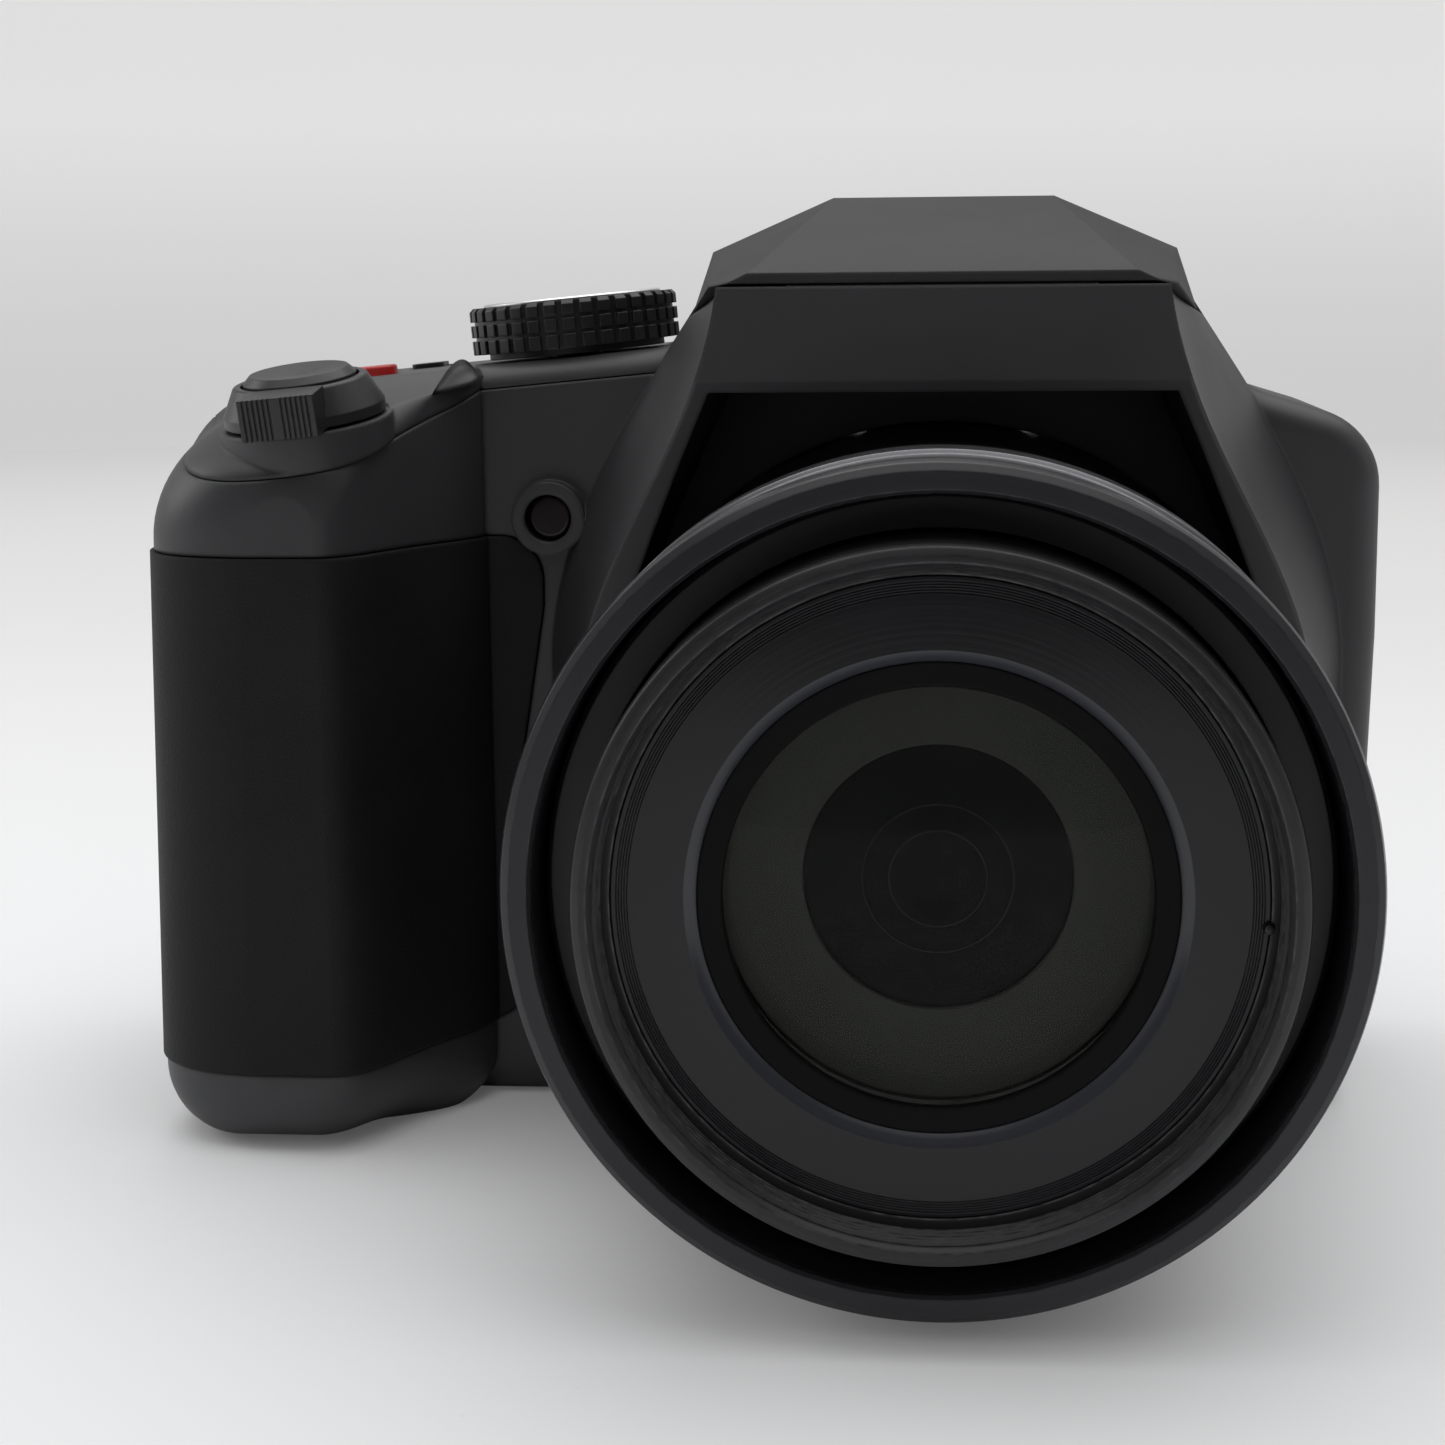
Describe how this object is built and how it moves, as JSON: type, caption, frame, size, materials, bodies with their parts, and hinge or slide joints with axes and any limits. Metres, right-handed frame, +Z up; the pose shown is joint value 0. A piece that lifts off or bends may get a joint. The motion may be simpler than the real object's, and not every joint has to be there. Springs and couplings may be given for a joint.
{
  "type": "bridge camera",
  "caption": "Compact bridge camera with a deep grip, an extending zoom lens in a ringed barrel, a pop-up flash, top dials, a rear screen and an eye-level viewfinder.",
  "frame": {"origin": "mouth of the tripod socket, on the base under the optical axis", "axes": "+X to the right in a front view, -Y along the lens towards the subject, +Z up"},
  "size_m": [0.1265, 0.1191, 0.0943],
  "materials": {
    "body_plastic": "satin black plastic with a fine texture",
    "skin_rubber": "black rubber with a fine grain",
    "barrel_black": "satin black anodised barrel",
    "trim_dark": "dark polished ring with bright edges",
    "lens_plate": "glossy black plate with fine rings",
    "lens_glass": "coated lens glass",
    "window_glass": "black screen window",
    "lamp_clear": "clear ribbed window",
    "lamp_red": "dark red lamp lens",
    "dial_silver": "spun silver cap",
    "dial_black": "black studded dial",
    "button_black": "satin black button",
    "button_red": "red button",
    "metal_bright": "bright steel",
    "metal_dark": "dark plated steel",
    "board_green": "green circuit board",
    "inside_grey": "grey inner plastic",
    "baffle_grey": "grey-green inner ring"
  },
  "bodies": {
    "camera_body": {"front_cover": "body_plastic", "rear_cover": "body_plastic", "top_cover": "body_plastic", "base_plate": "body_plastic", "grip_skin": "skin_rubber", "thumb_pad": "skin_rubber", "chassis": "metal_dark", "main_board": "board_green", "image_sensor": "board_green", "af_lamp": "lamp_red", "tripod_socket": "metal_bright", "base_screws": "metal_bright", "strap_lugs": "metal_bright", "lcd_window": "window_glass", "lcd_panel": "inside_grey", "eyecup": "skin_rubber", "eyepiece_lens": "lens_glass", "evf_display": "inside_grey", "lens_housing": "barrel_black", "barrel_trim_ring": "trim_dark", "battery_box": "inside_grey", "battery": "inside_grey", "memory_card": "inside_grey", "terminal_sockets": "board_green", "flash_capacitor": "inside_grey", "zoom_motor": "metal_dark", "flash_hinge_pin": "metal_bright", "door_pins": "metal_bright"},
    "focus_group": {"focus_lens": "lens_glass"},
    "outer_barrel": {"zoom_barrel_outer": "barrel_black"},
    "inner_barrel": {"zoom_barrel_inner": "barrel_black", "name_ring": "lens_plate", "front_lens": "lens_glass", "lens_baffle": "baffle_grey", "inner_lens": "lens_glass"},
    "mode_dial": {"mode_dial": "dial_black", "mode_dial_cap": "dial_silver"},
    "shutter_button": {"shutter_button": "button_black"},
    "zoom_lever": {"zoom_lever": "button_black"},
    "power_switch": {"power_switch": "button_black"},
    "movie_button": {"movie_button": "button_red"},
    "burst_button": {"burst_button": "button_black"},
    "flash_button": {"flash_button": "button_black"},
    "evf_button": {"evf_button": "button_black"},
    "lock_button": {"lock_button": "button_black"},
    "playback_button": {"playback_button": "button_black"},
    "menu_button": {"menu_button": "button_black"},
    "display_button": {"display_button": "button_black"},
    "rear_dial": {"rear_dial": "dial_black"},
    "cursor_pad": {"cursor_pad": "button_black"},
    "set_button": {"set_button": "button_black"},
    "flash_head": {"flash_head": "body_plastic", "flash_lamp": "inside_grey", "flash_window": "lamp_clear"},
    "battery_door": {"battery_door": "body_plastic"},
    "battery_latch": {"battery_latch": "body_plastic"},
    "terminal_door": {"terminal_door": "body_plastic"},
    "diopter_dial": {"diopter_dial": "dial_black"}
  },
  "joints": [
    {"name": "barrel_zoom", "type": "slide", "parent": "camera_body", "child": "outer_barrel", "axis": [0, -1, 0], "range_m": [0, 0.036]},
    {"name": "inner_barrel_zoom", "type": "slide", "parent": "outer_barrel", "child": "inner_barrel", "axis": [0, -1, 0], "range_m": [0, 0.034]},
    {"name": "focus_travel", "type": "slide", "parent": "camera_body", "child": "focus_group", "axis": [0, -1, 0], "range_m": [-0.0015, 0.002]},
    {"name": "mode_dial_turn", "type": "hinge", "parent": "camera_body", "child": "mode_dial", "pos_m": [-0.0392, -0.005, 0.07859], "axis": [-0.0906, 0, 0.9959], "continuous": true},
    {"name": "rear_dial_turn", "type": "hinge", "parent": "camera_body", "child": "rear_dial", "pos_m": [-0.068, 0.0115, 0.0657], "axis": [0, 0, 1], "continuous": true},
    {"name": "diopter_turn", "type": "hinge", "parent": "camera_body", "child": "diopter_dial", "pos_m": [0.018, 0.02, 0.075], "axis": [1, 0, 0], "range_deg": [-150, 150]},
    {"name": "zoom_lever_turn", "type": "hinge", "parent": "camera_body", "child": "zoom_lever", "pos_m": [-0.0628, -0.0314, 0.0732], "axis": [-0.0898, -0.1386, 0.9863], "range_deg": [-20, 20], "stiffness_Nm_per_rad": 0.02},
    {"name": "cursor_pad_rock", "type": "hinge", "parent": "camera_body", "child": "cursor_pad", "pos_m": [-0.046, 0.0152, 0.034], "axis": [1, 0, 0], "range_deg": [-3, 3], "stiffness_Nm_per_rad": 0.1},
    {"name": "shutter_button_press", "type": "slide", "parent": "camera_body", "child": "shutter_button", "axis": [0.0898, 0.1386, -0.9863], "range_m": [0, 0.0012], "stiffness_N_per_m": 300},
    {"name": "movie_button_press", "type": "slide", "parent": "camera_body", "child": "movie_button", "axis": [0.0906, 0, -0.9959], "range_m": [0, 0.0008], "stiffness_N_per_m": 300},
    {"name": "burst_button_press", "type": "slide", "parent": "camera_body", "child": "burst_button", "axis": [0.0906, 0, -0.9959], "range_m": [0, 0.0008], "stiffness_N_per_m": 300},
    {"name": "flash_button_press", "type": "slide", "parent": "camera_body", "child": "flash_button", "axis": [-0.9131, 0, -0.4077], "range_m": [0, 0.0008], "stiffness_N_per_m": 300},
    {"name": "evf_button_press", "type": "slide", "parent": "camera_body", "child": "evf_button", "axis": [0, -1, 0], "range_m": [0, 0.0008], "stiffness_N_per_m": 300},
    {"name": "lock_button_press", "type": "slide", "parent": "camera_body", "child": "lock_button", "axis": [0, -1, 0], "range_m": [0, 0.0008], "stiffness_N_per_m": 300},
    {"name": "playback_button_press", "type": "slide", "parent": "camera_body", "child": "playback_button", "axis": [0, -1, 0], "range_m": [0, 0.0008], "stiffness_N_per_m": 300},
    {"name": "menu_button_press", "type": "slide", "parent": "camera_body", "child": "menu_button", "axis": [0, -1, 0], "range_m": [0, 0.0008], "stiffness_N_per_m": 300},
    {"name": "display_button_press", "type": "slide", "parent": "camera_body", "child": "display_button", "axis": [0, -1, 0], "range_m": [0, 0.0008], "stiffness_N_per_m": 300},
    {"name": "set_button_press", "type": "slide", "parent": "camera_body", "child": "set_button", "axis": [0, -1, 0], "range_m": [0, 0.0004], "stiffness_N_per_m": 500},
    {"name": "power_switch_slide", "type": "slide", "parent": "camera_body", "child": "power_switch", "axis": [0, 1, 0], "range_m": [0, 0.0034]},
    {"name": "flash_hinge", "type": "hinge", "parent": "camera_body", "child": "flash_head", "pos_m": [0, -0.008, 0.0835], "axis": [-1, 0, 0], "range_deg": [0, 48]},
    {"name": "battery_door_hinge", "type": "hinge", "parent": "camera_body", "child": "battery_door", "pos_m": [-0.0561, 0, 0.00095], "axis": [0, -1, 0], "range_deg": [0, 95]},
    {"name": "battery_latch_slide", "type": "slide", "parent": "battery_door", "child": "battery_latch", "axis": [0, 1, 0], "range_m": [0, 0.003]},
    {"name": "terminal_door_hinge", "type": "hinge", "parent": "camera_body", "child": "terminal_door", "pos_m": [0.04288, -0.008, 0.02803], "axis": [-0.028, 0, -0.9996], "range_deg": [0, 95]}
  ],
  "couplings": [
    {"joint": "inner_barrel_zoom", "follows": "barrel_zoom", "ratio": 0.94444}
  ]
}
